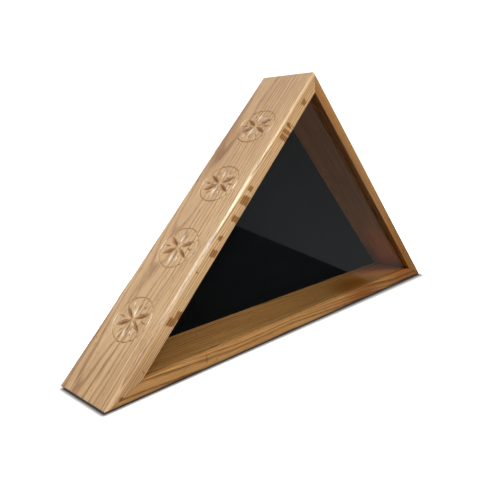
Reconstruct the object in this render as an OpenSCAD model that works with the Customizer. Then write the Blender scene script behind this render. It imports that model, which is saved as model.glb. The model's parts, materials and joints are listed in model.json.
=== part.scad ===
// Triangular display case for a folded flag.
// Three mitred oak boards hold a glass pane in a groove near the front and a felt-faced
// back panel in a rabbet behind. Six turn buttons on the back edge keep the panel in.
// Frame: +X to the right, +Z up, the glass faces -Y. The origin is the middle of the
// base board's underside. Every side is drawn in its own local frame: x along the board
// from its first corner, y from front to back, z from the outer face inward.

/* [Case] */
// Width of the case along its base
case_w = 648; // [520:1:800]
// Depth of the boards, front to back
case_d = 85; // [70:1:120]
// Angle at each base corner
base_angle = 45; // [40:1:50]
// Thickness of the boards
board_t = 18; // [15:0.5:24]
// Radius of the rounded outer front edge
front_round = 4.5; // [2:0.5:6]
// Chamfer on the other long edges
edge_ease = 0.8; // [0.4:0.1:1.5]
// Radius that blunts the two sharp base corners
tip_round = 1; // [0.5:0.5:4]

/* [Glass] */
// Thickness of the pane
glass_t = 2.5; // [2:0.5:4]
// Wood in front of the pane
glass_setback = 7; // [5.5:0.5:12]
// Depth of the groove that holds the pane
groove_depth = 5; // [3:0.5:7]
// Gap between the pane's faces and the groove
glass_face_clear = 0.25; // [0.1:0.05:0.5]
// Gap between the pane's edge and the groove's bottom
glass_edge_clear = 1; // [0.5:0.25:2]
// How far the pane's points are nipped off
glass_nip = 6; // [3:0.5:10]

/* [Back panel] */
// Thickness of the fibreboard panel
panel_t = 15; // [6:0.5:19]
// Thickness of the felt on its inner face
felt_t = 1.3; // [1:0.1:3]
// Wood left outside the rabbet, which carries the button screws
lip_w = 10; // [8:0.5:12]
// Gap between the panel's edge and the rabbet
panel_clear = 0.6; // [0.3:0.1:1.5]
// How far the panel's back face lies below the boards' back edges
panel_recess = 0.2; // [0.1:0.1:1]
// Gap between the felt and the rabbet's shoulder
shoulder_clear = 0.3; // [0.1:0.1:1]
// How far the felt stays inside the panel's edge
felt_margin = 0.4; // [0.2:0.1:2]
// How far the panel's points are nipped off
panel_nip = 8; // [4:0.5:12]

/* [Turn buttons] */
// Thickness of a button
button_t = 1.2; // [1:0.1:2]
// Length of a button from its pivot to its tip
button_reach = 26; // [20:1:32]
// Gap between a button that is turned aside and each edge of the lip
button_margin = 0.9; // [0.3:0.1:1.2]
// Height of the finger ridge near the tip
ridge_h = 0.9; // [0.6:0.1:1.2]
// Gap under a button, and between it and its screw's head
button_float = 0.1; // [0.05:0.05:0.2]
// Distance of the base board's two buttons from its ends
base_button_from_corner = 174; // [110:1:220]
// Distance of each side's lower button from the base corner
low_button_from_corner = 130; // [90:1:150]
// Distance of each side's upper button from the apex
high_button_from_apex = 110; // [70:1:130]

/* [Button screws] */
// Diameter of the screw's shank
screw_d = 2.8; // [2.3:0.1:3.6]
// Diameter of the pan head
head_d = 5.6; // [5:0.2:7]
// Height of the pan head
head_h = 1.4; // [1.2:0.1:2]
// Height of the head's straight rim, below its dome
rim_h = 0.6; // [0.4:0.1:0.9]
// Length of the shank below the head
screw_len = 16; // [10:1:22]
// Length of the shank's tapered point
point_len = 3; // [2:0.5:5]
// Diameter of the point's blunt end
point_d = 0.8; // [0.4:0.1:1.2]
// Gap between the shank and the hole around it
bore_clear = 0.05; // [0.02:0.01:0.1]
// Width of the cross recess's arms
recess_w = 0.8; // [0.6:0.1:1]
// Length of the cross recess from end to end
recess_len = 3.2; // [2.8:0.1:3.8]
// Depth of the cross recess
recess_depth = 1; // [0.7:0.1:1.1]

/* [Mitre splines] */
// Thickness of a spline
spline_t = 3; // [2.5:0.5:4]
// Width of a spline, half of it in each board
spline_w = 12; // [10:1:14]
// Wood between a spline's end and the groove or the rabbet beside it
spline_margin = 9; // [5:1:12]
// Gap between a spline and its slot
spline_clear = 0.1; // [0.05:0.05:0.3]

/* [Carving] */
// Number of carved rosettes on the left board
rosettes = 4; // [1:1:4]
// Distance between their centres
rosette_pitch = 92; // [60:1:100]
// Diameter of a rosette to the tips of its petals
rosette_d = 46; // [36:1:56]
// Number of petals
petals = 6; // [4:1:8]
// Width of a petal at its middle, which is also twice its depth
petal_w = 6.6; // [4:0.2:7]
// Flat wood between a petal's inner point and the centre
petal_gap = 1.2; // [0.8:0.2:3]
// Length of the small chip between two petals
chip_len = 11; // [7:0.5:12]
// Width of that chip
chip_w = 3; // [2:0.2:4]
// Width of the ring groove around the petals
ring_w = 2; // [1.2:0.2:3]
// Gap between the petals' tips and the ring
ring_gap = 2.2; // [1.5:0.1:4]

/* [Hidden] */
$fn = 64;

// What a cutter runs past the face that it cuts
over = 1;
front_y = -case_d / 2;
back_y = case_d / 2;
case_h = case_w / 2 * tan(base_angle);
side_len = case_w / 2 / cos(base_angle);
rabbet_d = panel_recess + panel_t + felt_t + shoulder_clear;
groove_front = front_y + glass_setback - glass_face_clear;
groove_back = front_y + glass_setback + glass_t + glass_face_clear;
spline_y0 = groove_back + spline_margin;
spline_y1 = back_y - rabbet_d - spline_margin;
button_w = lip_w - 2 * button_margin;
head_y = back_y + button_float + button_t + button_float;

// Sides in order round the case: base, right, left
BASE = 0;
RIGHT = 1;
LEFT = 2;
side_lengths = [case_w, side_len, side_len];
// Corner angles at the start and the end of each side
apex_angle = 180 - 2 * base_angle;
start_angles = [base_angle, base_angle, apex_angle];
end_angles = [base_angle, apex_angle, base_angle];

// Each button: its side, its distance along it, and the way it points when turned aside
BUTTONS = [
    [BASE, base_button_from_corner, -1],
    [BASE, case_w - base_button_from_corner, 1],
    [RIGHT, low_button_from_corner, -1],
    [RIGHT, side_len - high_button_from_apex, -1],
    [LEFT, high_button_from_apex, 1],
    [LEFT, side_len - low_button_from_corner, 1]
];

oak = "burlywood";
oak_warm = "peru";
brass = "goldenrod";

// Half width, at its own base line, of the case's triangle moved inward by inset
function half_width(inset) = case_w / 2 - inset / tan(base_angle / 2);
// Height of that triangle's apex
function apex_z(inset) = case_h - inset / cos(base_angle);

// Places its children in the local frame of a side
module on_side(side) {
    origins = [[-case_w / 2, 0, 0], [case_w / 2, 0, 0], [0, 0, case_h]];
    turns = [0, base_angle - 180, 180 - base_angle];
    translate(origins[side]) rotate([0, turns[side], 0]) children();
}

// A shape in the XZ plane, drawn as (x, z), made a plate from y0 to y1
module plate(y0, y1) {
    translate([0, y1, 0]) rotate([90, 0, 0]) linear_extrude(y1 - y0) children();
}

// The case's triangle moved inward by inset, with its three points nipped off
module nipped_triangle(inset, nip) {
    w = half_width(inset);
    top = apex_z(inset);
    a = base_angle;
    along = nip / cos(a / 2);
    apex_along = nip / sin(a);
    polygon([
        [-w + along, inset], [w - along, inset],
        [w - along * cos(a), inset + along * sin(a)],
        [apex_along * cos(a), top - apex_along * sin(a)],
        [-apex_along * cos(a), top - apex_along * sin(a)],
        [-w + along * cos(a), inset + along * sin(a)]
    ]);
}

// Cross-section of a board as (y, z): groove, rabbet, eased edges and a square front corner
module board_section() {
    polygon([
        [front_y, 0],
        [back_y - edge_ease, 0], [back_y, edge_ease],
        [back_y, lip_w], [back_y - rabbet_d, lip_w],
        [back_y - rabbet_d, board_t],
        [groove_back, board_t], [groove_back, board_t - groove_depth],
        [groove_front, board_t - groove_depth], [groove_front, board_t],
        [front_y + edge_ease, board_t], [front_y, board_t - edge_ease]
    ]);
}

// What the rounded front edge takes off the square corner, along a board of length len
module front_round_cutter(len) {
    r = front_round;
    difference() {
        translate([-over, front_y - over, -over]) cube([len + 2 * over, r + over, r + over]);
        translate([-2 * over, front_y + r, r]) rotate([0, 90, 0])
            cylinder(h = len + 4 * over, r = r);
    }
}

// The space between the mitre planes at a board's two ends, as (x, z)
module mitre_wedge(len, start, end) {
    deep = board_t + over;
    polygon([
        [-over / tan(start / 2), -over],
        [len + over / tan(end / 2), -over],
        [len - deep / tan(end / 2), deep],
        [deep / tan(start / 2), deep]
    ]);
}

// What blunts a sharp base corner at a board's start
module tip_cutter(angle) {
    reach = tip_round / tan(angle / 2);
    difference() {
        plate(front_y - over, back_y + over)
            polygon([[-reach, -over], [reach, -over], [reach, tip_round], [-reach, tip_round]]);
        translate([reach, back_y + 2 * over, tip_round]) rotate([90, 0, 0])
            cylinder(h = case_d + 4 * over, r = tip_round);
    }
}

// The box of a spline across the mitre at a side's start, grown by gap all round
module spline_box(angle, gap) {
    middle = board_t / sin(angle / 2) / 2;
    rotate([0, -angle / 2, 0]) translate([middle, 0, 0])
        translate([-spline_t / 2 - gap, spline_y0 - gap, -spline_w / 2 - gap])
            cube([spline_t + 2 * gap, spline_y1 - spline_y0 + 2 * gap, spline_w + 2 * gap]);
}

// The two slots for splines at a board's ends
module spline_slots(side) {
    spline_box(start_angles[side], spline_clear);
    translate([side_lengths[side], 0, 0]) mirror([1, 0, 0])
        spline_box(end_angles[side], spline_clear);
}

// Pilot holes for the button screws of one side
module pilot_holes(side) {
    for (b = BUTTONS) {
        if (b[0] == side) {
            translate([b[1], back_y + over, lip_w / 2]) rotate([90, 0, 0])
                cylinder(h = screw_len + 2 * over, d = screw_d + 2 * bore_clear);
        }
    }
}

// One mitred board in its local frame
module board(side) {
    len = side_lengths[side];
    difference() {
        intersection() {
            translate([-over, 0, 0]) rotate([90, 0, 90]) linear_extrude(len + 2 * over)
                board_section();
            plate(front_y - over, back_y + over)
                mitre_wedge(len, start_angles[side], end_angles[side]);
        }
        front_round_cutter(len);
        spline_slots(side);
        pilot_holes(side);
        if (start_angles[side] == base_angle) tip_cutter(base_angle);
        if (end_angles[side] == base_angle)
            translate([len, 0, 0]) mirror([1, 0, 0]) tip_cutter(base_angle);
    }
}

// A leaf-shaped V cut along x, as long as len and as wide as width at its middle:
// two cones that narrow inward at 45 degrees share it
module v_leaf(len, width) {
    half = width / 2;
    r = (len * len / 4 + half * half) / (2 * half);
    h = half + 2 * over;
    intersection() {
        translate([0, r - half, -over]) cylinder(h = h, r1 = r + over, r2 = r + over - h);
        translate([0, half - r, -over]) cylinder(h = h, r1 = r + over, r2 = r + over - h);
    }
}

// A ring-shaped V cut
module v_ring(radius, width) {
    half = width / 2;
    rotate_extrude()
        polygon([[radius - half - over, -over], [radius + half + over, -over], [radius, half]]);
}

// The cuts of one rosette about the local z axis
module rosette_cuts() {
    petal_len = rosette_d / 2 - petal_gap;
    step = 360 / petals;
    for (i = [0 : petals - 1]) {
        rotate([0, 0, i * step]) translate([petal_gap + petal_len / 2, 0, 0])
            v_leaf(petal_len, petal_w);
        rotate([0, 0, (i + 0.5) * step]) translate([(rosette_d - chip_len) / 2, 0, 0])
            v_leaf(chip_len, chip_w);
    }
    v_ring(rosette_d / 2 + ring_gap + ring_w / 2, ring_w);
}

module base_board() {
    color(oak_warm) on_side(BASE) board(BASE);
}

module side_board_right() {
    color(oak_warm) on_side(RIGHT) board(RIGHT);
}

module side_board_left() {
    color(oak) on_side(LEFT) difference() {
        board(LEFT);
        for (i = [0 : rosettes - 1])
            translate([side_len / 2 + (i - (rosettes - 1) / 2) * rosette_pitch, 0, 0])
                rosette_cuts();
    }
}

// A spline across the mitre where a side starts
module mitre_spline(side) {
    color("tan") on_side(side) spline_box(start_angles[side], 0);
}

module glass_pane() {
    y0 = front_y + glass_setback;
    color("lightblue", 0.35) plate(y0, y0 + glass_t)
        nipped_triangle(board_t - groove_depth + glass_edge_clear, glass_nip);
}

module back_panel() {
    y1 = back_y - panel_recess;
    color("black") plate(y1 - panel_t, y1) nipped_triangle(lip_w + panel_clear, panel_nip);
}

module felt_lining() {
    y1 = back_y - panel_recess - panel_t;
    color("darkslategray") plate(y1 - felt_t, y1)
        nipped_triangle(lip_w + panel_clear + felt_margin, panel_nip);
}

// A turn button about its pivot, pointing along x: a plate with round ends, and a finger
// ridge across the round end far from the pivot
module turn_button_shape() {
    r = button_w / 2;
    tip_x = button_reach - r;
    y0 = back_y + button_float;
    ridge_half = r * sin(60) - edge_ease;
    difference() {
        union() {
            plate(y0, y0 + button_t) union() {
                circle(r);
                translate([0, -r]) square([tip_x, button_w]);
                translate([tip_x, 0]) circle(r);
            }
            translate([tip_x + r * cos(60), y0 + button_t, -ridge_half])
                cylinder(h = 2 * ridge_half, r = ridge_h);
        }
        translate([0, y0 + button_t + over, 0]) rotate([90, 0, 0])
            cylinder(h = button_t + 2 * over, d = screw_d + 2 * bore_clear);
    }
}

// Places its children at a button's pivot, with x along the way that the button points
module at_button(i) {
    b = BUTTONS[i];
    on_side(b[0]) translate([b[1], 0, lip_w / 2])
        if (b[2] > 0) children();
        else mirror([1, 0, 0]) children();
}

module turn_button(i) {
    color(brass) at_button(i) turn_button_shape();
}

// A pan-head screw with a cross recess, about its own z axis: the head's underside is at zero
module screw_shape() {
    dome_h = head_h - rim_h;
    dome_r = (head_d * head_d / 4 + dome_h * dome_h) / (2 * dome_h);
    difference() {
        union() {
            intersection() {
                cylinder(h = head_h + over, d = head_d);
                translate([0, 0, head_h - dome_r]) sphere(dome_r);
            }
            translate([0, 0, point_len - screw_len])
                cylinder(h = screw_len - point_len + rim_h / 2, d = screw_d);
            translate([0, 0, -screw_len]) cylinder(h = point_len, d1 = point_d, d2 = screw_d);
        }
        for (turn = [0, 90])
            rotate([0, 0, turn])
                translate([-recess_len / 2, -recess_w / 2, head_h - recess_depth])
                    cube([recess_len, recess_w, recess_depth + over]);
    }
}

// The screw of one button, driven in from the back
module button_screw(i) {
    color(brass) at_button(i) translate([0, head_y, 0]) rotate([-90, 0, 0]) screw_shape();
}

base_board();
side_board_right();
side_board_left();
mitre_spline(BASE);  // mitre_spline_left
mitre_spline(RIGHT);  // mitre_spline_right
mitre_spline(LEFT);  // mitre_spline_apex
glass_pane();
back_panel();
felt_lining();
turn_button(0);  // turn_button_base_left
turn_button(1);  // turn_button_base_right
turn_button(2);  // turn_button_right_low
turn_button(3);  // turn_button_right_high
turn_button(4);  // turn_button_left_high
turn_button(5);  // turn_button_left_low
button_screw(0);  // button_screw_base_left
button_screw(1);  // button_screw_base_right
button_screw(2);  // button_screw_right_low
button_screw(3);  // button_screw_right_high
button_screw(4);  // button_screw_left_high
button_screw(5);  // button_screw_left_low
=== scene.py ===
# %% [markdown]
# # A folded flag display case in solid oak
# Three mitred oak boards make a triangle that stands on its long side. A pane of glass sits
# in a groove near the front, and a black felt-faced panel closes the back, held by six brass
# turn buttons. The shapes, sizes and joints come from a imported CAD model. This script gives
# every surface its finish, rebuilds the small parts that deserve finer meshes, and lights it.

import json
import math

import bpy
import numpy as np
from mathutils import Matrix, Vector


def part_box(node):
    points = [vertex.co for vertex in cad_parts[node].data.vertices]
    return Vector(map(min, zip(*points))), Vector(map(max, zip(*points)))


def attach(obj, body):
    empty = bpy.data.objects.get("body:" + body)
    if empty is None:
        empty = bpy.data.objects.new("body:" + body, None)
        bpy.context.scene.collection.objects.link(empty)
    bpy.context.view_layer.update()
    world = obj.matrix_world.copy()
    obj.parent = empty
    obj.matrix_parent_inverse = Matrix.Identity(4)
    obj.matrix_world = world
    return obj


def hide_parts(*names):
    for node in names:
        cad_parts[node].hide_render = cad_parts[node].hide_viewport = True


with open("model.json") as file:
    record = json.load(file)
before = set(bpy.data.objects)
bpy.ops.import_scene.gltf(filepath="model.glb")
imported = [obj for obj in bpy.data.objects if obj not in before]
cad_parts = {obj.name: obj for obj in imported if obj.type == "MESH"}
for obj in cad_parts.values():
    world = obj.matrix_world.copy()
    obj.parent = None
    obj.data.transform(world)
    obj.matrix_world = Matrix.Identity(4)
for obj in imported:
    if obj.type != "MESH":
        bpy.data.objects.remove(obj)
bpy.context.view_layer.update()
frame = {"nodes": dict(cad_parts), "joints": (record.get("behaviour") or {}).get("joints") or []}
nodes = frame["nodes"]
MM = 0.001

# %% [markdown]
# ## Sizes read from the model
# Nothing is measured twice: the width, height and depth of the case and the places of the
# glass and the felt are all read from the model's own pieces, so a change in the model
# carries through to everything below.

# %% Sizes of the case
base_low, base_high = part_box("base_board")
glass_low, glass_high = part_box("glass_pane")
felt_low, felt_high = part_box("felt_lining")
case_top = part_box("side_board_left")[1].z
CASE_DEPTH = base_high.y - base_low.y
FRONT = base_low.y
# A 45-45-90 triangle is half as high as it is wide, and its legs lean at 45 degrees.
HALF_WIDTH = case_top
LEAN = math.radians(45)
SIDE_LENGTH = HALF_WIDTH / math.cos(LEAN)
print("case, mm:", [round(v / MM, 1) for v in (2 * HALF_WIDTH, CASE_DEPTH, case_top)])

# %% [markdown]
# ## The camera
# The view is from the front left, a little above the case and close to it, with a slight
# roll. A moderately wide lens at that distance gives the strong taper from the near carved
# corner to the far one. The camera is aimed by its compass angle, its tilt and its roll.

# %% Place the camera
CAMERA_PLACE = Vector((-0.5515, -0.4381, 0.2471))
CAMERA_HEADING = math.radians(46.10)
CAMERA_TILT = math.radians(-11.17)
CAMERA_ROLL = math.radians(-1.25)
LENS = 39.15

ahead = Vector(
    (
        math.sin(CAMERA_HEADING) * math.cos(CAMERA_TILT),
        math.cos(CAMERA_HEADING) * math.cos(CAMERA_TILT),
        math.sin(CAMERA_TILT),
    )
)
level = ahead.cross(Vector((0, 0, 1))).normalized()
above = level.cross(ahead)
right = level * math.cos(CAMERA_ROLL) + above * math.sin(CAMERA_ROLL)
upward = right.cross(ahead)
turn = Matrix((right, upward, -ahead)).transposed().to_4x4()

camera = bpy.data.objects.new("camera", bpy.data.cameras.new("camera"))
camera.data.lens = LENS
camera.data.clip_start = 0.01
camera.matrix_world = Matrix.Translation(CAMERA_PLACE) @ turn
bpy.context.scene.collection.objects.link(camera)
bpy.context.scene.camera = camera
print("camera at", tuple(round(v, 3) for v in CAMERA_PLACE))

# %% [markdown]
# ## Writing shader maths as Python
# A material in Blender is a graph of nodes. Clicking them together is fine for a few, but a
# wood needs dozens. Here one small class stands for a wire between nodes and takes Python's
# operators, so `1 - mask * 0.5` adds the two Math nodes it needs.


# %% A wire that does arithmetic
class Wire:
    """One output socket. Arithmetic on it adds Math nodes to its own material."""

    def __init__(self, finish, socket):
        self.finish = finish
        self.socket = socket

    def maths(self, operation, *values):
        """One Math node. The wire's own value has to be among the values."""
        return self.finish.add("ShaderNodeMath", {"operation": operation}, dict(enumerate(values)))

    def __add__(self, other):
        return self.maths("ADD", self, other)

    def __sub__(self, other):
        return self.maths("SUBTRACT", self, other)

    def __rsub__(self, other):
        return self.maths("SUBTRACT", other, self)

    def __mul__(self, other):
        return self.maths("MULTIPLY", self, other)

    def __truediv__(self, other):
        return self.maths("DIVIDE", self, other)

    __radd__ = __add__
    __rmul__ = __mul__


# %% [markdown]
# The second class keeps one material's tree and has a short name for each thing that the
# finishes below do again and again: read a place, stretch it, lay noise on it, carry a value
# from one range to another, and mix two colours. Everything reads the object's own
# coordinates, so a pattern stays on its piece when the piece moves.


# %% A finish is a material under construction
class Finish:
    """A new material (or a given world), its tree, and the ways nodes are added to it."""

    def __init__(self, name, owner=None):
        self.material = owner or bpy.data.materials.new(name)
        self.material.use_nodes = True
        self.tree = self.material.node_tree
        self.tree.nodes.clear()

    def add(self, kind, settings=None, inputs=None, output=0):
        """Adds a node: its settings first, then the values or wires of its sockets."""
        node = self.tree.nodes.new(kind)
        for key, value in (settings or {}).items():
            setattr(node, key, value)
        for key, value in (inputs or {}).items():
            if isinstance(value, Wire):
                self.tree.links.new(value.socket, node.inputs[key])
            else:
                node.inputs[key].default_value = value
        return Wire(self, node.outputs[output]) if len(node.outputs) else node

    def place(self):
        """Object coordinates: the case's own frame, in metres."""
        return self.add("ShaderNodeTexCoord", output="Object")

    def vector(self, operation, a, b=(0, 0, 0), output=0):
        """Vector maths. A length, distance or dot product comes out of output 1."""
        return self.add("ShaderNodeVectorMath", {"operation": operation}, {0: a, 1: b}, output)

    def stretch(self, point, factors):
        """The same point with each axis scaled, which stretches a pattern laid on it."""
        return self.vector("MULTIPLY", point, factors)

    def noise(self, point, detail=2.0, roughness=0.5, lacunarity=2.0, output=0):
        """Soft random values from 0 to 1, in cells about one unit across."""
        settings = {"normalize": True}
        inputs = {"Vector": point, "Scale": 1.0, "Detail": detail, "Roughness": roughness,
                  "Lacunarity": lacunarity}
        return self.add("ShaderNodeTexNoise", settings, inputs, output)

    def ramp(self, value, low, high, to_low=0.0, to_high=1.0):
        """Carries value from low..high to to_low..to_high in a smooth S."""
        inputs = {"Value": value, "From Min": low, "From Max": high, "To Min": to_low,
                  "To Max": to_high}
        return self.add("ShaderNodeMapRange", {"interpolation_type": "SMOOTHSTEP"}, inputs)

    def blend(self, factor, a, b, mode="MIX"):
        """Colour a where factor is 0 and colour b where it is 1."""
        settings = {"data_type": "RGBA", "blend_type": mode}
        return self.add("ShaderNodeMix", settings, {0: factor, 6: a, 7: b}, output=2)

    def largest(self, a, b):
        """The larger of two values, which joins two masks."""
        return self.add("ShaderNodeMath", {"operation": "MAXIMUM"}, {0: a, 1: b})

    def axes(self, point):
        """The three coordinates of a point as wires."""
        split = self.add("ShaderNodeSeparateXYZ", inputs={0: point})
        return [Wire(self, socket) for socket in split.socket.node.outputs]

    def bump(self, height, distance, strength=1.0):
        """A normal tilted by the slope of height (0 to 1), whose full rise is distance metres."""
        inputs = {"Height": height, "Distance": distance, "Strength": strength}
        return self.add("ShaderNodeBump", inputs=inputs)

    def surface(self, **sockets):
        """Ends the material in one Principled BSDF. Underscores in a name stand for spaces."""
        inputs = {key.replace("_", " "): value for key, value in sockets.items()}
        shader = self.add("ShaderNodeBsdfPrincipled", inputs=inputs)
        self.add("ShaderNodeOutputMaterial", inputs={"Surface": shader})
        return self.material


def wear(material, *names):
    """Gives nodes or new pieces a material in place of what they had."""
    for name in names:
        mesh = bpy.data.objects[name].data
        mesh.materials.clear()
        mesh.materials.append(material)
    print(material.name, "on", len(names), "piece(s)")


# %% [markdown]
# ## Oak, as a solid and not a skin
# Oak looks right when every face of a board belongs to the same log. So the grain is worked
# out in three dimensions: growth rings are cylinders about a distant pith that runs along
# the board, and each face shows where it cuts them. The broad face, nearly square to the
# rings' radius, shows wide drifting lines. The narrow front edge shows tight straight lines,
# and also the rays, thin sheets that lie along the radius and flash up as darker flecks.
# A picture laid on the faces would be easier, but it would break at every arris and inside
# the carving.
#
# Each board first gets coordinates of its own, in millimetres: x along it from its first
# corner, y from front to back and z from its outer face inward.


# %% Coordinates along a board
def board_point(finish, start, lean):
    """Turns the case's frame into the board's: undo the start, then the lean, then metres."""
    settings = {"vector_type": "TEXTURE"}
    inputs = {"Vector": finish.place(), "Location": start, "Rotation": (0, lean, 0),
              "Scale": (MM, MM, MM)}
    return finish.add("ShaderNodeMapping", settings, inputs)


BOARDS = {
    "base_board": {"start": (-HALF_WIDTH, 0, 0), "lean": 0.0, "length": 2 * HALF_WIDTH,
                   "corners": (LEAN, LEAN)},
    "side_board_right": {"start": (HALF_WIDTH, 0, 0), "lean": LEAN - math.pi,
                         "length": SIDE_LENGTH, "corners": (LEAN, math.pi / 2)},
    "side_board_left": {"start": (0, 0, case_top), "lean": math.pi - LEAN,
                        "length": SIDE_LENGTH, "corners": (math.pi / 2, LEAN)},
}

# %% [markdown]
# The rings are not even: a dry year leaves a thin one. In each ring the early wood is open
# and full of pores, which take the oil and look darker, and the late wood is dense and pale.
# So a ring starts with a sharp dark line that fades outward. The pores themselves are fine
# dashes along the grain. They darken the colour, roughen the gloss and dent the surface.


# %% The grain of one board
def grain(finish, point, wood):
    """What a point shows of the wood, each 0 to 1, and the point after its wander.

    ring radius = distance from the pith in the y-z plane, after a slow wander of the point.
    ring phase = the fraction left of radius / ring width, plus a slow change of width.
    streaks, pores and rays = noise on the point stretched along, across and through the board.
    """
    tilt = finish.add("ShaderNodeMapping", {"vector_type": "POINT"},
                      {"Vector": point, "Location": wood["shift"],
                       "Rotation": (0, wood["dive"], wood["slope"])})
    wander = finish.noise(finish.stretch(tilt, (1 / 240, 1 / 90, 1 / 90)), 2.0, output=1)
    wander = finish.vector("MULTIPLY", finish.vector("SUBTRACT", wander, (0.5, 0.5, 0.5)),
                           (0, wood["wander"], wood["wander"]))
    fibre = finish.vector("ADD", tilt, wander)
    from_pith = finish.vector("SUBTRACT", finish.vector("MULTIPLY", fibre, (0, 1, 1)),
                              (0, *wood["pith"]))
    radius = finish.vector("LENGTH", from_pith, output=1)
    years = finish.add("ShaderNodeTexNoise", {"noise_dimensions": "1D"},
                       {"W": radius / 11, "Scale": 1.0, "Detail": 2.0})
    age = radius / wood["ring"] + years * 2.2
    phase = age.maths("FRACT", age)
    early = 1 - finish.ramp(phase, 0.02, 0.36)
    soft_start = finish.ramp(phase, 0.86, 1.0)
    ring = finish.largest(early, soft_start)

    streaks = finish.noise(finish.stretch(fibre, (1 / 80, 1 / 1.8, 1 / 1.8)), 3.0, 0.65)
    broad = finish.noise(finish.stretch(fibre, (1 / 170, 1 / 8, 1 / 8)), 2.0, 0.5)
    hairs = finish.noise(finish.stretch(fibre, (1 / 48, 1 / 1.3, 1 / 1.3)), 3.0, 0.7)
    pore_cells = finish.noise(finish.stretch(fibre, (1 / 15, 1 / 0.8, 1 / 0.8)), 1.0, 0.5)
    pores = finish.ramp(pore_cells, 0.52, 0.63) * (ring * 0.75 + 0.25)
    ray_cells = finish.noise(finish.stretch(tilt, (1 / 9, 1 / 1.1, 1 / 26)), 2.0, 0.45)
    rays = finish.ramp(ray_cells, wood["ray_from"], wood["ray_from"] + 0.03)
    seen = {"ring": ring, "streaks": streaks, "broad": broad, "hairs": hairs, "pores": pores,
            "rays": rays}
    return seen, finish.vector("ADD", point, wander)


# %% [markdown]
# Two things in a board are not random. The big ray flecks on a front edge sit where the saw
# happened to meet the rays, so each is listed: how far along, how deep from the outer face,
# and half its length and height. Noise tears its outline and a shear leans it over. The second
# is a soft change of colour in a place, where a board runs browner, redder or paler. Several of
# these places paint light and shade into the colour: painted shade on the right board's inside
# and toward the low right corner, painted bounce light inside the case, and a painted highlight
# along an arris. Such a place has a middle, a reach along each axis, a strength and a tint to
# multiply by.

# %% Flecks and tinted places
FLECK_LEAN = 0.35
FLECK_DEPTH = 4.0


def flecks(finish, point, places):
    """1 inside any fleck, 0 outside, with torn edges.

    nearness = the largest of |x - middle| / half length, |z - middle| / half height and
    depth / reach, on a point shaken by noise and leaned over. A fleck is where it is below 1.
    """
    shaken = finish.noise(finish.stretch(point, (1 / 6, 1 / 6, 1 / 1.6)), 2.0, output=1)
    shaken = finish.vector("SUBTRACT", shaken, (0.5, 0.5, 0.5))
    torn = finish.vector("ADD", point, finish.vector("MULTIPLY", shaken, (6.0, 0, 3.0)))
    along, inward, deep = finish.axes(torn)
    torn = finish.add("ShaderNodeCombineXYZ",
                      inputs={"X": along + deep * FLECK_LEAN, "Y": inward, "Z": deep})
    mask = 0.0
    for x, z, half_length, half_height in places:
        away = finish.vector("SUBTRACT", torn, (x + z * FLECK_LEAN, FRONT / MM, z))
        away = finish.vector("ABSOLUTE", away)
        scale = (1 / half_length, 1 / FLECK_DEPTH, 1 / half_height)
        parts = finish.axes(finish.stretch(away, scale))
        nearness = finish.largest(finish.largest(parts[0], parts[1]), parts[2])
        mask = finish.largest(mask, 1 - finish.ramp(nearness, 0.93, 1.07))
    return mask


def tinted_place(finish, point, middle, reach):
    """1 at the middle, fading to 0 at the reach: 1 - the length of (point - middle) / reach."""
    away = finish.vector("SUBTRACT", point, middle)
    away = finish.vector("LENGTH", finish.stretch(away, [1 / r for r in reach]), output=1)
    return 1 - finish.ramp(away, 0.25, 1.0)
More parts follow.
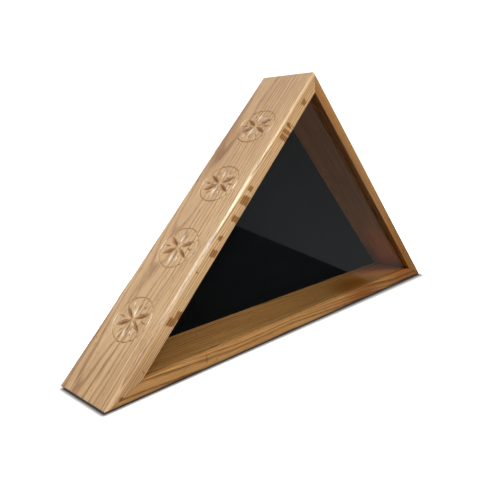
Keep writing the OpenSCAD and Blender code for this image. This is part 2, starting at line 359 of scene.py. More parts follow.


# %% [markdown]
# The colour starts from a pale ground and a darker brown, mixed by the rings and streaks.
# Where the boards meet, a hairline of glue and oil darkens the mitre. In the carving the colour
# grows darker with depth: partly the oil that the cut wood drinks, partly painted shade in the
# hollows. The oil is a thin coat over the wood. Its weight follows only the finest fibres, so
# the light on a rounded arris breaks into hairlines as it does on real open grain.


# %% The oak finish
def oak(name, board, wood):
    """shade (0 pale, 1 dark) = ring + streaks + fibres, with more ring on the front edge.

    Distance to a mitre = the smaller of x sin(a/2) - z cos(a/2) from each end, where a is the
    corner's angle there.
    """
    finish = Finish(name)
    point = board_point(finish, board["start"], board["lean"])
    x, y, z = finish.axes(point)
    seen, fibre = grain(finish, point, wood)

    front_face = 1 - finish.ramp(y, FRONT / MM + 0.6, FRONT / MM + 3.0)
    shade = seen["ring"] * 0.8 + finish.ramp(seen["streaks"], 0.36, 0.66) * 0.5
    shade = shade + (seen["hairs"] - 0.5) * 2.5 - 0.17
    shade = shade + front_face * (seen["ring"] - 0.42) * 1.5
    colour = finish.blend(shade, wood["pale"], wood["dark"])
    colour = finish.blend(finish.ramp(seen["broad"], 0.35, 0.7) * 0.5, colour, wood["blush"])
    for middle, reach, depth, tint in wood["places"]:
        near = tinted_place(finish, fibre, middle, reach)
        colour = finish.blend(near * depth, colour, tint, "MULTIPLY")
    colour = finish.blend(seen["pores"] * 0.6, colour, wood["pore"])
    rays = flecks(finish, point, wood["flecks"]) * (0.85 + seen["ring"] * 0.3)
    rays = finish.largest(seen["rays"], rays)
    colour = finish.blend(rays * wood["ray_strength"], colour, wood["ray"], "MULTIPLY")

    length = board["length"] / MM
    first, last = (angle / 2 for angle in board["corners"])
    to_first = x * math.sin(first) - z * math.cos(first)
    to_last = (length - x) * math.sin(last) - z * math.cos(last)
    to_mitre = finish.add("ShaderNodeMath", {"operation": "MINIMUM"}, {0: to_first, 1: to_last})
    glue = 1 - finish.ramp(to_mitre, 0.15, 0.7)
    colour = finish.blend(glue * 0.55, colour, wood["pore"])

    rough = 0.40 + seen["pores"] * 0.2 + (seen["streaks"] - 0.5) * 0.14 + rays * -0.06
    height = seen["pores"] * -0.8 + seen["hairs"] * 0.35 + seen["streaks"] * 0.25
    filled = 0.42 - (seen["hairs"] - 0.5) * 1.6
    # The carving is darkened with depth: partly oil, partly painted shade in the hollows.
    if wood.get("carved"):
        inside = finish.ramp(z, 0.12, 2.6) * (1 - finish.ramp(y.maths("ABSOLUTE", y), 28.0, 29.0))
        inside = inside * (1 - finish.ramp(z, 4.0, 5.0))
        colour = finish.blend(inside * 0.75, colour, wood["oil_and_painted_shade"], "MULTIPLY")
        rough = rough + inside * 0.12
        filled = filled * (1 - inside * 0.7)
    normal = finish.bump(height, 0.00012, 0.55)
    return finish.surface(Base_Color=colour, Roughness=rough, Normal=normal, IOR=1.5,
                          Coat_Weight=filled, Coat_Roughness=0.27)



# %% [markdown]
# The three boards come from one log but not from one place in it. Each has its own pith,
# ring width and slope, so that the lines do not match at the mitres, just as they never do
# in a real frame. The left board's colours are paler than the other two boards'.

# %% The three boards' woods
# A tint multiplies the wood's colour. Above 1 it makes it lighter.
BROWNER = (0.70, 0.58, 0.42, 1)
REDDISH_PAINTED_LIGHT = (1.6, 1.1, 0.62, 1)
ORANGE_AND_PAINTED_SHADE = (0.66, 0.46, 0.14, 1)
PALER_PAINTED_LIGHT = (1.35, 1.32, 1.5, 1)
GOLDEN_AND_PAINTED_SHADE = (0.80, 0.70, 0.35, 1)
SHADY = (0.46, 0.48, 0.85, 1)
PAINTED_HIGHLIGHT = (1.5, 1.45, 1.4, 1)

# Lengths are in millimetres in the board's own coordinates. A place is (middle, reach,
# strength, tint), and a fleck is (along, deep, half length, half height).
WOODS = {
    "side_board_left": {
        "pith": (30.0, 76.0), "ring": 2.15, "wander": 9.0, "shift": (310.0, 0.0, 0.0),
        "slope": math.radians(1.6), "dive": math.radians(0.8),
        "pale": (0.76, 0.50, 0.25, 1), "dark": (0.39, 0.18, 0.05, 1),
        "blush": (0.56, 0.32, 0.155, 1), "pore": (0.2, 0.085, 0.028, 1),
        "ray": (0.47, 0.27, 0.05, 1), "ray_from": 0.69, "ray_strength": 1.0,
        "oil_and_painted_shade": (0.42, 0.24, 0.11, 1), "carved": True,
        "places": [((122, 36, 0), (85, 30, 40), 1.0, BROWNER),
                   ((385, 40, 0), (60, 18, 30), 0.3, BROWNER),
                   ((0, 0, 0), (110, 90, 60), 0.3, BROWNER),
                   ((70, 5, 0), (230, 90, 12), 0.45, BROWNER),
                   ((450, 0, 0), (65, 80, 12), 0.35, BROWNER),
                   ((430, -46, 12), (90, 20, 22), 0.6, BROWNER)],
        "flecks": [(43, 10.5, 4, 3.6), (91, 12, 3, 7), (99.5, 12.5, 3.7, 7),
                   (181, 8.5, 3.4, 3.2), (196, 11, 6, 5.5), (221, 12.5, 4, 4.6),
                   (250, 9, 3, 2.8), (268, 12, 4.6, 4.2), (343, 14.5, 4.6, 3.6),
                   (353, 11, 4.6, 4.8), (440, 7, 2.4, 2)],
    },
    "side_board_right": {
        "pith": (-22.0, 80.0), "ring": 2.5, "wander": 8.0, "shift": (1900.0, 37.0, 11.0),
        "slope": math.radians(-1.1), "dive": math.radians(0.9),
        "pale": (0.49, 0.245, 0.072, 1), "dark": (0.26, 0.105, 0.018, 1),
        "blush": (0.37, 0.15, 0.028, 1), "pore": (0.11, 0.042, 0.01, 1),
        "ray": (0.62, 0.45, 0.3, 1), "ray_from": 0.69, "ray_strength": 0.8,
        # Darker and more golden on the front edge at the low corner: partly tone, partly painted
        # shade.
        "places": [((60, -42, 9), (190, 30, 40), 1.0, GOLDEN_AND_PAINTED_SHADE),
                   # Painted shade: darkens the inner face, which lies in the shade of the other
                   # boards.
                   ((230, -20, 25), (600, 70, 16), 1.0, BROWNER),
                   ((230, -38.5, 19.5), (900, 6, 5), 1.0, SHADY),
                   # Painted highlight: a bright line along the front edge's inner arris.
                   ((230, -42.5, 17), (900, 2.5, 2.8), 1.0, PAINTED_HIGHLIGHT),
                   # Painted reddish bounce light on the inner face near the low corner.
                   ((70, -8, 20), (130, 36, 14), 1.0, REDDISH_PAINTED_LIGHT),
                   # Painted shade on the inner face toward the apex.
                   ((420, 10, 20), (330, 90, 14), 0.9, BROWNER)],
        "flecks": [],
    },
    "base_board": {
        "pith": (10.0, 110.0), "ring": 3.2, "wander": 10.0, "shift": (900.0, -23.0, 53.0),
        "slope": math.radians(0.9), "dive": math.radians(-0.7),
        "pale": (0.54, 0.275, 0.078, 1), "dark": (0.28, 0.11, 0.019, 1),
        "blush": (0.42, 0.17, 0.04, 1), "pore": (0.12, 0.048, 0.012, 1),
        "ray": (0.62, 0.45, 0.3, 1), "ray_from": 0.69, "ray_strength": 0.8,
        # These three make the board darker and more orange toward its right end: partly tone,
        # partly painted shade.
        "places": [((455, -25, 9), (75, 50, 40), 1.0, ORANGE_AND_PAINTED_SHADE),
                   ((440, -42, 9), (120, 12, 20), 0.3, ORANGE_AND_PAINTED_SHADE),
                   ((610, -42, 9), (130, 30, 40), 1.0, ORANGE_AND_PAINTED_SHADE),
                   # Painted light: the inner face made paler, as bounce light would.
                   ((180, 10, 19), (290, 70, 10), 1.0, PALER_PAINTED_LIGHT),
                   # Painted reddish bounce light on the inner face near the right corner.
                   ((590, 5, 19), (130, 60, 12), 1.0, REDDISH_PAINTED_LIGHT)],
        "flecks": [],
    },
}
for name, wood in WOODS.items():
    wear(oak("oiled_oak_" + name, BOARDS[name], wood), name)

# %% [markdown]
# ## The hidden splines
# A spline is a thin slip of oak glued into a slot across each mitre. It never shows from
# outside, but it is a real piece, so it gets plain bare oak: the same idea as the boards,
# with straight fibres and no oil.


# %% Bare oak for the splines
def bare_oak(name):
    """Colour follows noise stretched along the boards' depth, in millimetres."""
    finish = Finish(name)
    point = finish.stretch(finish.place(), (1 / MM, 1 / MM, 1 / MM))
    fibres = finish.noise(finish.stretch(point, (1 / 1.2, 1 / 30, 1 / 1.2)), 3.0, 0.6)
    colour = finish.blend(finish.ramp(fibres, 0.3, 0.7), (0.56, 0.4, 0.23, 1),
                          (0.34, 0.21, 0.1, 1))
    return finish.surface(Base_Color=colour, Roughness=0.75,
                          Normal=finish.bump(fibres, 0.0001, 0.6))


wear(bare_oak("bare_oak"), "mitre_spline_left", "mitre_spline_right", "mitre_spline_apex")

# %% [markdown]
# ## Glass
# The pane is thin and flat, so light passes almost straight through it. A full refracting
# glass would make the renderer hunt for light through two bent surfaces and leave the case
# too dark and grainy. Instead each face mixes a clear shader with a mirror, and Fresnel's
# law says how much of each: little mirror seen square on, much more at a glancing angle.
# The light is not bent on its way in, so the face it leaves by would wrongly act as a full
# mirror. That face is left clear, and the one it enters by mirrors for both.

# %% The glass finish
GLASS_IOR = 1.5
BOTH_FACES = 1.85


def clear_glass(name):
    """Mirror share = Fresnel * both faces on the side that light enters, nothing on the other."""
    finish = Finish(name)
    shine = finish.add("ShaderNodeFresnel", inputs={"IOR": GLASS_IOR})
    leaving = finish.add("ShaderNodeNewGeometry", output="Backfacing")
    clear = finish.add("ShaderNodeBsdfTransparent", inputs={"Color": (0.955, 0.97, 0.965, 1)})
    mirror = finish.add("ShaderNodeBsdfAnisotropic",
                        inputs={"Color": (1, 1, 1, 1), "Roughness": 0.012})
    share = shine * (1 - leaving) * BOTH_FACES
    both = finish.add("ShaderNodeMixShader", inputs={0: share, 1: clear, 2: mirror})
    finish.add("ShaderNodeOutputMaterial", inputs={"Surface": both})
    return finish.material


wear(clear_glass("clear_glass"), "glass_pane")

# %% [markdown]
# ## Surfaces from grids
# New pieces are made as grids: a shape is a function of two parameters, worked out as whole
# arrays, and the mesh is the grid's quads. `grid_faces` numbers those quads, closing the
# grid round one way where the shape goes round.


# %% Grid helpers
def grid_faces(rows, columns, closed_rows=False, closed_columns=False, first=0):
    """Quads between neighbours of a rows x columns grid whose first vertex is number first."""
    i = np.arange(rows if closed_rows else rows - 1)[:, None]
    j = np.arange(columns if closed_columns else columns - 1)[None, :]
    down = (i + 1) % rows
    along = (j + 1) % columns
    quads = np.stack([i * columns + j, i * columns + along, down * columns + along,
                      down * columns + j], axis=-1)
    return quads.reshape(-1, 4) + first


def cad_points(node):
    """The vertices of a CAD node as rows of x, y and z in metres."""
    mesh = nodes[node].data
    points = np.empty(len(mesh.vertices) * 3)
    mesh.vertices.foreach_get("co", points)
    return points.reshape(-1, 3)


def make_piece(name, vertices, faces, smooth=True):
    """A mesh object at the origin, with its place in its vertices."""
    mesh = bpy.data.meshes.new(name)
    mesh.from_pydata(np.asarray(vertices).reshape(-1, 3).tolist(), [], [list(f) for f in faces])
    mesh.update()
    mesh.polygons.foreach_set("use_smooth", [smooth] * len(mesh.polygons))
    piece = bpy.data.objects.new(name, mesh)
    bpy.context.scene.collection.objects.link(piece)
    print(name, "has", len(mesh.vertices), "vertices and", len(mesh.polygons), "faces")
    return piece


# %% [markdown]
# ## The felt
# The felt is a sheet cut to the panel's shape, pulled over it and glued. Cloth simulation
# would only give back a flat sheet, so it is a direct grid instead: rows from the bottom to
# the top, each as wide as the triangle is there, with a very slight rise and fall that the
# glue leaves. A second grid behind it, joined round the rim, gives it its real thickness.


# %% The felt sheet
FELT_RIM = 4 * MM
FELT_RIPPLE, FELT_LIFT, FELT_SINK = 0.12 * MM, 0.3 * MM, 0.15 * MM


def triangle_half_width(node):
    """The heights where a nipped triangle's outline turns, and its half width at each."""
    points = cad_points(node)
    levels = np.unique(np.round(points[:, 2], 6))
    widths = [points[np.abs(points[:, 2] - level) < 1e-5, 0].max() for level in levels]
    return levels, np.array(widths)


def felt_sheet():
    """Two grids joined round the rim, and the area of the triangle they cover.

    x = u * half width at that height, with u from -1 to 1. Front y = the front face + ripple
    * edge + lift * (1 - edge), where edge goes from 0 on the rim to 1 inside. Back y = the
    back face. Area = the sum of the mean width between two heights * the step between them.
    """
    levels, widths = triangle_half_width("felt_lining")
    inside = np.linspace(levels[0], levels[-1], 90)
    z = np.unique(np.concatenate([inside, levels]))
    half = np.interp(z, levels, widths)
    u = np.linspace(-1, 1, 161)
    x = half[:, None] * u[None, :]
    height = np.repeat(z[:, None], len(u), axis=1)
    edge = np.clip((1 - np.abs(u[None, :])) * half[:, None] / FELT_RIM, 0, 1)
    edge = edge * np.clip((height - z[0]) / FELT_RIM, 0, 1)
    edge = edge * np.clip((z[-1] - height) / FELT_RIM, 0, 1)
    ripple = np.sin(x * 31 + 4 * np.sin(height * 17)) * np.sin(height * 43 + x * 12)
    pile = FELT_RIPPLE * ripple * edge + FELT_LIFT * (1 - edge)
    front = np.stack([x, felt_low.y + FELT_SINK + pile, height], axis=-1)
    back = np.stack([x, np.full_like(x, felt_high.y), height], axis=-1)
    rows, columns = x.shape
    faces = grid_faces(rows, columns)
    behind = grid_faces(rows, columns, first=rows * columns)[:, ::-1]
    grid = np.arange(rows * columns).reshape(rows, columns)
    rim = np.concatenate([grid[0, :-1], grid[:-1, -1], grid[-1, :0:-1], grid[:0:-1, 0]])
    after = np.roll(rim, -1)
    edges = np.stack([rim, rim + rows * columns, after + rows * columns, after], axis=-1)
    area = ((half[1:] + half[:-1]) * np.diff(z)).sum()
    vertices = np.concatenate([front.reshape(-1, 3), back.reshape(-1, 3)])
    return make_piece("felt_sheet", vertices, np.concatenate([faces, behind, edges])), area


felt, felt_area = felt_sheet()
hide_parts("felt_lining")
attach(felt, "back")


# %% [markdown]
# Wool felt has no weave. It is a mat of fibres, so its finish is short curly noise at two
# sizes and a soft sheen that lifts it where the eye grazes it.


# %% The felt finish
def wool_felt(name):
    """Fibres = noise read at a point that another noise has pushed about, so they curl."""
    finish = Finish(name)
    point = finish.stretch(finish.place(), (1 / MM, 1 / MM, 1 / MM))
    curl = finish.vector("ADD", point, finish.noise(point, 2.0, output=1))
    fibres = finish.noise(finish.stretch(curl, (2.2, 2.2, 2.2)), 4.0, 0.7)
    nap = finish.noise(finish.stretch(point, (1 / 14, 1 / 14, 1 / 14)), 3.0, 0.55)
    colour = finish.blend(finish.ramp(fibres, 0.3, 0.75), (0.0022, 0.0027, 0.0034, 1),
                          (0.0075, 0.0084, 0.0100, 1))
    colour = finish.blend(finish.ramp(nap, 0.35, 0.7) * 0.35, colour, (0.0055, 0.0062, 0.0075, 1))
    normal = finish.bump(fibres + nap * 0.6, 0.0003, 0.7)
    return finish.surface(Base_Color=colour, Roughness=0.95, Normal=normal,
                          Specular_IOR_Level=0.06, Sheen_Weight=0.05, Sheen_Roughness=0.5,
                          Sheen_Tint=(0.4, 0.45, 0.5, 1))


wear(wool_felt("black_wool_felt"), "felt_sheet")

# %% [markdown]
# ## The turn buttons
# A turn button is stamped from thin brass: round ends, a hole for its screw, edges broken by
# the press, and a ridge for a fingertip. A bevelled cylinder-and-box would do from far away.
# Here one surface makes all of it: rings of points run from the hole's wall over the top,
# round the outer edge and back underneath, and each ring blends from the hole's circle to
# the button's outline.


# %% Where each button is and how it lies
BACKWARD = np.array([0.0, 1.0, 0.0])


def button_frame(joint):
    """The pivot, the way the button points and the way across it, from its joint and node."""
    node = joint["child"].replace("button_", "turn_button_", 1)
    low, high = (np.array(corner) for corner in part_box(node))
    pivot = np.array(joint["pos_m"], float)
    aim = (low + high) / 2 - pivot
    aim[1] = 0
    aim = aim / np.linalg.norm(aim)
    return node, pivot, aim, np.cross(BACKWARD, aim)


buttons = [button_frame(j) for j in frame["joints"] if j["type"] == "hinge"]
first_node, first_pivot, first_aim, _ = buttons[0]
spread = cad_points(first_node) - first_pivot
BUTTON_REACH = (spread @ first_aim).max()
BUTTON_RADIUS = -(spread @ first_aim).min()
near_hole = np.linalg.norm(spread - np.outer(spread @ BACKWARD, BACKWARD), axis=1)
HOLE_RADIUS = near_hole.min()
# The hole's wall runs from the underside to the top of the plate, below the ridge.
BUTTON_PLATE = np.ptp(spread[near_hole < HOLE_RADIUS * 1.05] @ BACKWARD)
print("button, mm: reach", round(BUTTON_REACH / MM, 2), "radius", round(BUTTON_RADIUS / MM, 2),
      "hole", round(HOLE_RADIUS / MM, 2), "plate", round(BUTTON_PLATE / MM, 2))

# %% [markdown]
# The outline is a stadium: two half circles joined by straight sides. A point on it is found
# by walking round at even speed, which spaces the vertices evenly and keeps the shading
# smooth where an arc meets a straight side.


# %% The button's outline
def stadium(u, radius, reach):
    """A point u (0 to 1) of the way round two half circles joined by straight sides.

    The walk starts behind the pivot and goes half way round the back, along one side, round
    the tip and home, at even speed.
    """
    straight = reach - radius
    arc = math.pi * radius
    walk = u * (2 * arc + 2 * straight)
    s1, s2, s3, s4 = arc / 2, arc / 2 + straight, arc * 1.5 + straight, arc * 1.5 + 2 * straight
    turn_1 = math.pi - walk / radius
    turn_2 = math.pi / 2 - (walk - s2) / radius
    turn_3 = -math.pi / 2 - (walk - s4) / radius
    conditions = [walk < s1, walk < s2, walk < s3, walk < s4]
    a = np.select(conditions, [radius * np.cos(turn_1), walk - s1,
                               straight + radius * np.cos(turn_2), straight - (walk - s3)],
                  radius * np.cos(turn_3))
    b = np.select(conditions, [radius * np.sin(turn_1), radius, radius * np.sin(turn_2), -radius],
                  radius * np.sin(turn_3))
    return a, b


tip, _ = stadium(np.array([0.5]), BUTTON_RADIUS, BUTTON_REACH)
print("half way round, mm from the pivot:", round(float(tip[0]) / MM, 2))

# %% [markdown]
# The rings run from the hole's circle to that outline, and many of them cross the ridge, so
# it comes out smooth. The edges that the press leaves are broken by a small quarter round.
# The grid closes both ways, like a doughnut, which leaves no open edge anywhere.

# %% The button as one surface
BUTTON_BREAK = 0.35 * MM
RIDGE_WIDTH = 2.6 * MM
RIDGE_END = 0.9 * MM


def button_surface(thickness, ridge_height):
    """Rings (blend from hole to outline, inset from the outline, height) swept round.

    A ring's point = (1 - blend) * hole circle + blend * outline moved in by the inset. The
    ridge adds height * cos^2 of the distance along the button from the ridge's middle, and
    e * e * (3 - 2 e) rounds off its ends, with e from 0 at an end to 1 inside.
    """
    c = BUTTON_BREAK
    quarter = np.linspace(0, math.pi / 2, 6)
    top = np.linspace(0, 1, 72)[1:-1]
    rings = [(0.0, c, 0.0), (0.0, c, thickness - c)]
    rings += [(t, c, thickness) for t in np.concatenate([[0.0], top, [1.0]])]
    rings += [(1.0, c - c * math.sin(t), thickness - c + c * math.cos(t)) for t in quarter[1:]]
    rings += [(1.0, 0.0, c * 0.6), (1.0, c * 0.6, 0.0)]
    rings += [(t, c * 0.6, 0.0) for t in np.linspace(1, 0, 12)[1:-1]]
    blend, inset, height = (np.array(v)[:, None] for v in zip(*rings))
    u = np.linspace(0, 1, 145)[:-1][None, :]
    angle = math.pi - 2 * math.pi * u
    hole_a = HOLE_RADIUS * np.cos(angle)
    hole_b = HOLE_RADIUS * np.sin(angle)
    a = np.empty((len(rings), u.size))
    b = np.empty_like(a)
    for k, d in enumerate(inset[:, 0]):
        a[k], b[k] = stadium(u[0], BUTTON_RADIUS - d, BUTTON_REACH - d)
    a = (1 - blend) * hole_a + blend * a
    b = (1 - blend) * hole_b + blend * b
    ridge_at = BUTTON_REACH - BUTTON_RADIUS / 2
    away = np.clip(np.abs(a - ridge_at) / (RIDGE_WIDTH / 2), 0, 1)
    end = np.clip((BUTTON_RADIUS * 0.72 - np.abs(b)) / RIDGE_END, 0, 1)
    raised = ridge_height * np.cos(away * math.pi / 2) ** 2 * end * end * (3 - 2 * end)
    h = height + np.where(height >= thickness - 1e-9, raised, 0)
    return np.stack([a, b, np.broadcast_to(h, a.shape)], axis=-1)


# %% [markdown]
# One button is now a list of points along it, across it and above the board. Each of the six
# is that same surface, carried to its own pivot and turned the way its board runs.


# %% The six buttons in place
def lay_out(surface, pivot, aim, across, base_y):
    """A place = the pivot + along * aim + across * the way across + height * backward."""
    origin = np.array([pivot[0], base_y, pivot[2]])
    return (origin + surface[..., :1] * aim + surface[..., 1:2] * across
            + surface[..., 2:] * BACKWARD)


def make_button(node, pivot, aim, across):
    """The button's surface laid on its board, in place of the CAD node."""
    low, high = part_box(node)
    points = button_surface(BUTTON_PLATE, high.y - low.y - BUTTON_PLATE)
    placed = lay_out(points, pivot, aim, across, low.y)
    rows, columns = points.shape[:2]
    faces = grid_faces(rows, columns, closed_rows=True, closed_columns=True)
    piece = make_piece(node.replace("turn_button", "brass_button"), placed, faces)
    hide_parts(node)
    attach(piece, node.replace("turn_button", "button"))
    return piece


brass_buttons = [make_button(*b) for b in buttons]


# %% [markdown]
# ## The screws
# Each screw is turned on a lathe, so it is one profile carried round an axis: the point, the
# shank, the flat under the head, its rim and a shallow dome. Real threads would be hidden in
# the wood, so the shank stays plain.

# %% The screw's profile
SCREW_PLAY = 0.05 * MM
WASHER_GAP = 0.1 * MM


def screw_profile(length, head_height, head_radius, shank_radius):
    """Radius and height from the point up to the crown.

    Crown height = rim + (head - rim) * (1 - (radius / head radius)^2), a shallow dome.
    """
    dome = np.linspace(0, 1, 22)[1:]
    rim = head_height * 0.45
    crown_r = head_radius * (1 - dome) ** 0.5
    crown_h = rim + (head_height - rim) * (1 - (crown_r / head_radius) ** 2)
    profile = [(0.0, -length), (0.3 * shank_radius, -length + 0.2 * MM),
               (shank_radius, -length + 2 * shank_radius), (shank_radius, -0.05 * MM),
               (shank_radius, 0.0), (head_radius - 0.15 * MM, 0.0),
               (head_radius, 0.15 * MM), (head_radius, rim)]
    radius = np.concatenate([[r for r, _ in profile], crown_r])
    height = np.concatenate([[h for _, h in profile], crown_h])
    return radius, height


# %% [markdown]
# The head's cross is pressed in after the turning: points near its two arms are pushed down,
# with sloped walls as a driver leaves them. The two ends of the profile are closed by a fan
# of triangles round one point each.


# %% The six screws in place
def driver_cross(a, b, head_radius):
    """How deep a driver's cross goes at (a, b), from 0 outside it to about 1 in its middle.

    An arm = 1 inside half its width and its reach, falling to 0 over the width of a wall.
    Depth = the larger of the two arms * (1.35 - distance / reach), held between 0 and 1.
    """
    arm, reach, wall = (share * head_radius for share in (0.13, 0.56, 0.08))

    def one_arm(along, aside):
        inside = np.clip((arm + wall - np.abs(aside)) / wall, 0, 1)
        return inside * np.clip((reach - np.abs(along)) / wall, 0, 1)

    deep = np.clip(1.35 - np.hypot(a, b) / reach, 0, 1)
    return np.maximum(one_arm(a, b), one_arm(b, a)) * deep


def make_screw(node, pivot, aim, across):
    """The turned screw with its cross, seated on its button, in place of the CAD node."""
    low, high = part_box(node)
    head_radius = (high.x - low.x) / 2
    button_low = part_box(node.replace("button_screw", "turn_button"))[0]
    seat = button_low.y + BUTTON_PLATE + WASHER_GAP
    head_height = high.y - seat
    radius, height = screw_profile(seat - low.y, head_height, head_radius,
                                   HOLE_RADIUS - SCREW_PLAY)
    angle = np.linspace(0, 2 * math.pi, 97)[:-1]
    a = radius[:, None] * np.cos(angle)
    b = radius[:, None] * np.sin(angle)
    on_crown = height[:, None] > head_height * 0.46
    h = height[:, None] - 0.65 * head_height * driver_cross(a, b, head_radius) * on_crown
    ring = np.stack([a, b, np.broadcast_to(h, a.shape)], axis=-1)
    placed = lay_out(ring, pivot, aim, across, seat)
    rows, columns = a.shape
    inner = placed[1:-1].reshape(-1, 3)
    count = (rows - 2) * columns
    vertices = np.concatenate([inner, placed[:1, 0], placed[-1:, 0]])
    faces = grid_faces(rows - 2, columns, closed_columns=True).tolist()
    turn_by = np.arange(columns)
    following = (turn_by + 1) % columns
    last = (rows - 3) * columns
    faces += np.stack([following, turn_by, np.full(columns, count)], -1).tolist()
    faces += np.stack([last + turn_by, last + following, np.full(columns, count + 1)], -1).tolist()
    piece = make_piece(node.replace("button_screw", "brass_screw"), vertices, faces)
    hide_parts(node)
    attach(piece, "case")
    return piece


brass_screws = [
    make_screw(node.replace("turn_button", "button_screw"), pivot, aim, across)
    for node, pivot, aim, across in buttons
]


# %% [markdown]
# ## Brass
# Brass is a metal, so its colour is the colour of its reflections. What makes it look used
# is its roughness: fine scratches in all directions, and dull patches of tarnish.


# %% The brass finish
def brass(name, colour, dull, roughness):
    """Roughness = the polish + tarnished patches + scratches along two directions."""
    finish = Finish(name)
    point = finish.stretch(finish.place(), (1 / MM, 1 / MM, 1 / MM))
    patches = finish.noise(finish.stretch(point, (1 / 5, 1 / 5, 1 / 5)), 3.0, 0.6)
    lines = finish.noise(finish.stretch(point, (1 / 0.15, 1 / 3, 1 / 3)), 2.0, 0.5)
    crossed = finish.noise(finish.stretch(point, (1 / 3, 1 / 3, 1 / 0.15)), 2.0, 0.5)
    scratches = finish.largest(finish.ramp(lines, 0.6, 0.7), finish.ramp(crossed, 0.62, 0.72))
    tint = finish.blend(finish.ramp(patches, 0.4, 0.7) * 0.8, colour, dull)
    rough = roughness + finish.ramp(patches, 0.35, 0.75) * 0.18 + scratches * 0.15
    normal = finish.bump(scratches, 0.00002, 0.5)
    return finish.surface(Base_Color=tint, Roughness=rough, Metallic=1.0, Normal=normal)


button_finish = brass("satin_brass", (0.84, 0.57, 0.2, 1), (0.52, 0.32, 0.1, 1), 0.24)
wear(button_finish, *[piece.name for piece in brass_buttons])
screw_finish = brass("polished_brass", (0.93, 0.7, 0.34, 1), (0.6, 0.4, 0.16, 1), 0.15)
wear(screw_finish, *[piece.name for piece in brass_screws])

# %% [markdown]
# ## The back panel
# The panel is black-painted fibreboard. Paint on board is never quite flat: it has the fine
# orange peel of a roller. Each turn button drags over it when it is turned, and has rubbed a
# faint arc round its pivot.


# %% The painted board finish
def painted_board(name):
    """A rubbed arc = a band of distances from a pivot that the button's tip sweeps over."""
    finish = Finish(name)
    place = finish.place()
    point = finish.stretch(place, (1 / MM, 1 / MM, 1 / MM))
    peel = finish.noise(finish.stretch(point, (1 / 1.4, 1 / 1.4, 1 / 1.4)), 3.0, 0.55)
    cloud = finish.noise(finish.stretch(point, (1 / 60, 1 / 60, 1 / 60)), 3.0, 0.5)
    fine = finish.noise(finish.stretch(point, (1 / 0.4, 1 / 6, 1 / 0.4)), 2.0, 0.5)
    arcs = None
    for _, pivot, _, _ in buttons:
        away = finish.vector("DISTANCE", finish.stretch(place, (1, 0, 1)),
                             (pivot[0], 0, pivot[2]), output=1) / MM
        reach = BUTTON_REACH / MM
        arc = finish.ramp(away, reach - 9, reach - 6.5) * (1 - finish.ramp(away, reach - 2, reach))
        arcs = arc if arcs is None else finish.largest(arcs, arc)
    arcs = arcs * finish.ramp(fine, 0.42, 0.62)
    colour = finish.blend(finish.ramp(cloud, 0.3, 0.7), (0.018, 0.017, 0.016, 1),
                          (0.028, 0.026, 0.024, 1))
    colour = finish.blend(arcs * 0.5, colour, (0.085, 0.075, 0.06, 1))
    rough = 0.5 + (cloud - 0.5) * 0.2 - arcs * 0.15
    return finish.surface(Base_Color=colour, Roughness=rough,
                          Normal=finish.bump(peel, 0.00015, 0.5))


wear(painted_board("black_painted_board"), "back_panel")

# %% [markdown]
# ## The floor
# The case stands on a plain white floor. The floor has two colours: an honest pale one that
# lights the case, and one that only the camera sees, bright enough to merge with the white
# background. Such a bright floor would swallow the real shadow, so the thin dark line where
# wood meets floor is a painted shadow in the camera's colour, and a painted shade fades from it
# to the white. It depends on the gap, how far a point is outside the foot's rectangle. The line
# is softer toward the far end.

# %% The floor
FLOOR_HALF = 12.0
FOOT_HALF_DEPTH = CASE_DEPTH / 2 - 5 * MM
FOOT_SHIFT = 3.5 * MM
LINE_REACH = 9 * MM
SHADE_FADE_FROM, SHADE_FADE_TO = 4 * MM, 50 * MM


def sheet_of(name, corners):
    """One flat face with four corners."""
    return make_piece(name, [tuple(c) for c in corners], [[0, 1, 2, 3]], smooth=False)


def white_floor_painted_shadow(name):
    """Gap = the length of (aside, ahead), neither below 0.

    aside = (|x| - half width) / its softness, and ahead = (|y + shift| - half depth) / its
    softness. Colour, a painted shadow = dark at gap 0, pale at the line's reach, white where the
    painted shade ends.
    """
    finish = Finish(name)
    x, y, _ = finish.axes(finish.place())
    softness = finish.ramp(x, -0.33, 0.33, 0.75, 1.9)
    half_width = finish.ramp(x, -0.3, 0.3, HALF_WIDTH - 0.5 * MM, HALF_WIDTH - 6.5 * MM)
    aside = (x.maths("ABSOLUTE", x) - half_width) / finish.ramp(x, -0.3, 0.3, 0.8, 0.4)
    ahead = (y.maths("ABSOLUTE", y + FOOT_SHIFT) - FOOT_HALF_DEPTH) / softness
    gap = finish.add("ShaderNodeCombineXYZ", inputs={"X": aside, "Y": ahead})
    gap = finish.vector("LENGTH", finish.vector("MAXIMUM", gap, (0, 0, 0)), output=1)
    # Painted contact shadow: dark at the foot, pale at the line's reach.
    line = finish.blend(finish.ramp(gap, 0.0, LINE_REACH), (0.065, 0.065, 0.068, 1),
                        (1.25, 1.25, 1.25, 1))
    # Painted shade round the foot, fading to the full white of the floor.
    seen = finish.blend(finish.ramp(gap, SHADE_FADE_FROM, SHADE_FADE_TO), line, (3.6, 3.6, 3.6, 1))
    by_camera = finish.add("ShaderNodeLightPath", output="Is Camera Ray")
    colour = finish.blend(by_camera, (0.8, 0.8, 0.8, 1), seen)
    diffuse = finish.add("ShaderNodeBsdfDiffuse", inputs={"Color": colour})
    finish.add("ShaderNodeOutputMaterial", inputs={"Surface": diffuse})
    return finish.material


floor = sheet_of("floor", [(FLOOR_HALF * i, FLOOR_HALF * j, 0)
                           for i, j in ((-1, -1), (1, -1), (1, 1), (-1, 1))])
wear(white_floor_painted_shadow("white_floor_painted_shadow"), "floor")
floor.visible_glossy = False

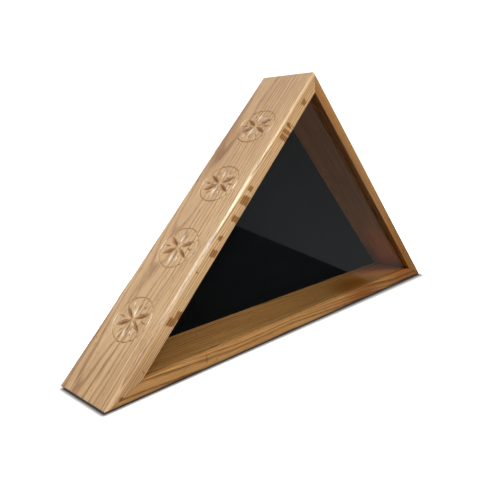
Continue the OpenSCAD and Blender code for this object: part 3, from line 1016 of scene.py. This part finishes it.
# %% [markdown]
# ## What the glass reflects
# The floor is hidden from mirror rays and the world is dark to them, so the glass keeps the
# felt black. One grey card stands where the pane mirrors it, and gives the pane its paler
# upper part with a clean slanting edge. To find its place, the eye is mirrored in the pane:
# a straight line from that mirrored eye through a point of the glass goes on to the spot
# which is seen there. Two points of the slanting edge are carried out that way.

# %% The card that the glass reflects
EDGE_ON_GLASS = (Vector((-0.137, glass_low.y, 0.149)), Vector((0.157, glass_low.y, 0.0213)))
CARD_AWAY = 3.2
CARD_PAST_LEFT, CARD_PAST_RIGHT, CARD_HEIGHT = 1.0, 3.0, 2.5
CARD_GLOW = 0.126
mirrored_eye = Vector((CAMERA_PLACE.x, 2 * glass_low.y - CAMERA_PLACE.y, CAMERA_PLACE.z))


def mirror_sheet(name, corners, colour, glow):
    """A glowing sheet that only mirror rays see. glow(finish) is its strength."""
    sheet = sheet_of(name, corners)
    finish = Finish(name)
    inputs = {"Color": colour, "Strength": glow(finish)}
    light = finish.add("ShaderNodeEmission", inputs=inputs)
    finish.add("ShaderNodeOutputMaterial", inputs={"Surface": light})
    wear(finish.material, name)
    sheet.visible_camera = False
    sheet.visible_diffuse = False
    sheet.visible_shadow = False


def through_glass(point, away):
    """Where the ray from the mirrored eye through a point of the pane gets to."""
    return mirrored_eye + (point - mirrored_eye) * away


edge_left, edge_right = (through_glass(p, CARD_AWAY) for p in EDGE_ON_GLASS)
along_edge = (edge_right - edge_left).normalized()
card_up = Vector((0, 0, 1)) - along_edge * along_edge.z
card_up.normalize()
card_left = edge_left - along_edge * CARD_PAST_LEFT
card_right = edge_right + along_edge * CARD_PAST_RIGHT
card_corners = [card_left, card_right, card_right + card_up * CARD_HEIGHT,
                card_left + card_up * CARD_HEIGHT]
mirror_sheet("grey_card", card_corners, (0.92, 0.98, 1.0, 1), lambda finish: CARD_GLOW)

# %% [markdown]
# ## The bright line on the rounded arris
# Oiled wood has a weak, soft mirror on it. A flat face shows it one patch of the room, but a
# rounded arris sweeps through many directions in a few millimetres, so it always finds the
# brightest thing there is. A banner of light overhead, seen by mirror rays only, draws that
# line along the left front arris without lighting the faces. It fades toward its edges, so
# the line has soft ends.

# %% The banner overhead
BANNER_MIDDLE = Vector((-0.36, -0.30, 0.88)).normalized()
BANNER_ALONG = Vector((0.26, -0.92, -0.27))
BANNER_AWAY, BANNER_HALF, BANNER_GLOW = 1.6, (1.05, 0.5), 19.0
BANNER_FULL = (0.75, 0.3)

banner_across = BANNER_MIDDLE.cross(BANNER_ALONG).normalized()
banner_along = banner_across.cross(BANNER_MIDDLE).normalized()
banner_centre = Vector((-0.16, -0.04, 0.15)) + BANNER_MIDDLE * BANNER_AWAY
banner_corners = [banner_centre + banner_along * BANNER_HALF[0] * i
                  + banner_across * BANNER_HALF[1] * j
                  for i, j in ((-1, -1), (1, -1), (1, 1), (-1, 1))]


def banner_glow(finish):
    """Full within a share of each half length, falling to 0 at the edge, both ways."""
    from_middle = finish.vector("SUBTRACT", finish.place(), tuple(banner_centre))
    fade = 1.0
    for direction, half, full in zip((banner_along, banner_across), BANNER_HALF, BANNER_FULL):
        reach = finish.vector("DOT_PRODUCT", from_middle, tuple(direction), output=1)
        away = reach.maths("ABSOLUTE", reach)
        fade = (1 - finish.ramp(away, half * full, half)) * fade
    return fade * BANNER_GLOW


mirror_sheet("banner", banner_corners, (0.52, 0.8, 1, 1), banner_glow)

# %% [markdown]
# ## Lamps
# Two soft boxes light the case: a key from the left for the carved face, and a larger one
# from the front and above for the front edges and the inside. Both are wide, so their
# shadows are soft, and neither shows in the glass.


# %% Lamps
def soft_lamp(name, place, target, size, power, colour):
    """A rectangular area lamp at a place, turned so that it faces its target."""
    lamp = bpy.data.objects.new(name, bpy.data.lights.new(name, "AREA"))
    lamp.data.shape = "RECTANGLE"
    lamp.data.size, lamp.data.size_y = size
    lamp.data.energy = power
    lamp.data.color = colour
    lamp.location = place
    lamp.rotation_euler = (Vector(target) - Vector(place)).to_track_quat("-Z", "Y").to_euler()
    lamp.visible_glossy = False
    bpy.context.scene.collection.objects.link(lamp)
    print(name, power, "W")


soft_lamp("key_softbox", (-1.08, -0.42, 1.12), (-0.12, 0.0, 0.12), (0.9, 0.7), 6.9,
          (1.0, 0.975, 0.94))
soft_lamp("top_softbox", (0.18, -0.98, 1.50), (0.0, 0.0, 0.08), (0.8, 0.6), 16.5,
          (1.0, 0.985, 0.96))

# %% [markdown]
# ## The world
# The world is seen three ways: white by the camera, as an even fill by the wood, and by
# mirrors as bright behind the case and above it, and dark in front, where the glass looks.

# %% The world
FILL, WHITE = 0.36, 1.3


def studio_world(name):
    """Strength = white for the camera, else mirror glow for mirror rays, else the fill.

    Mirror glow = one ramp that rises toward the back * one that rises upward.
    """
    sky = Finish(name, bpy.data.worlds.new(name))
    by_camera = sky.add("ShaderNodeLightPath", output="Is Camera Ray")
    by_mirror = sky.add("ShaderNodeLightPath", output="Is Glossy Ray")
    _, backward, upward = sky.axes(sky.add("ShaderNodeTexCoord", output="Generated"))
    mirror_glow = sky.ramp(backward, -0.1, 0.5, 0.01, 0.5)
    mirror_glow = mirror_glow * sky.ramp(upward, -0.15, 0.35, 0.3, 1.7)
    strength = FILL * (1 - by_mirror) + mirror_glow * by_mirror
    strength = strength * (1 - by_camera) + WHITE * by_camera
    tint = sky.blend(by_camera, (0.95, 0.975, 1, 1), (1, 1, 1, 1))
    light = sky.add("ShaderNodeBackground", inputs={"Color": tint, "Strength": strength})
    sky.add("ShaderNodeOutputWorld", inputs={"Surface": light})
    return sky.material


bpy.context.scene.world = studio_world("studio")
bpy.context.scene.view_settings.view_transform = "Standard"
print("world:", bpy.context.scene.world.name)
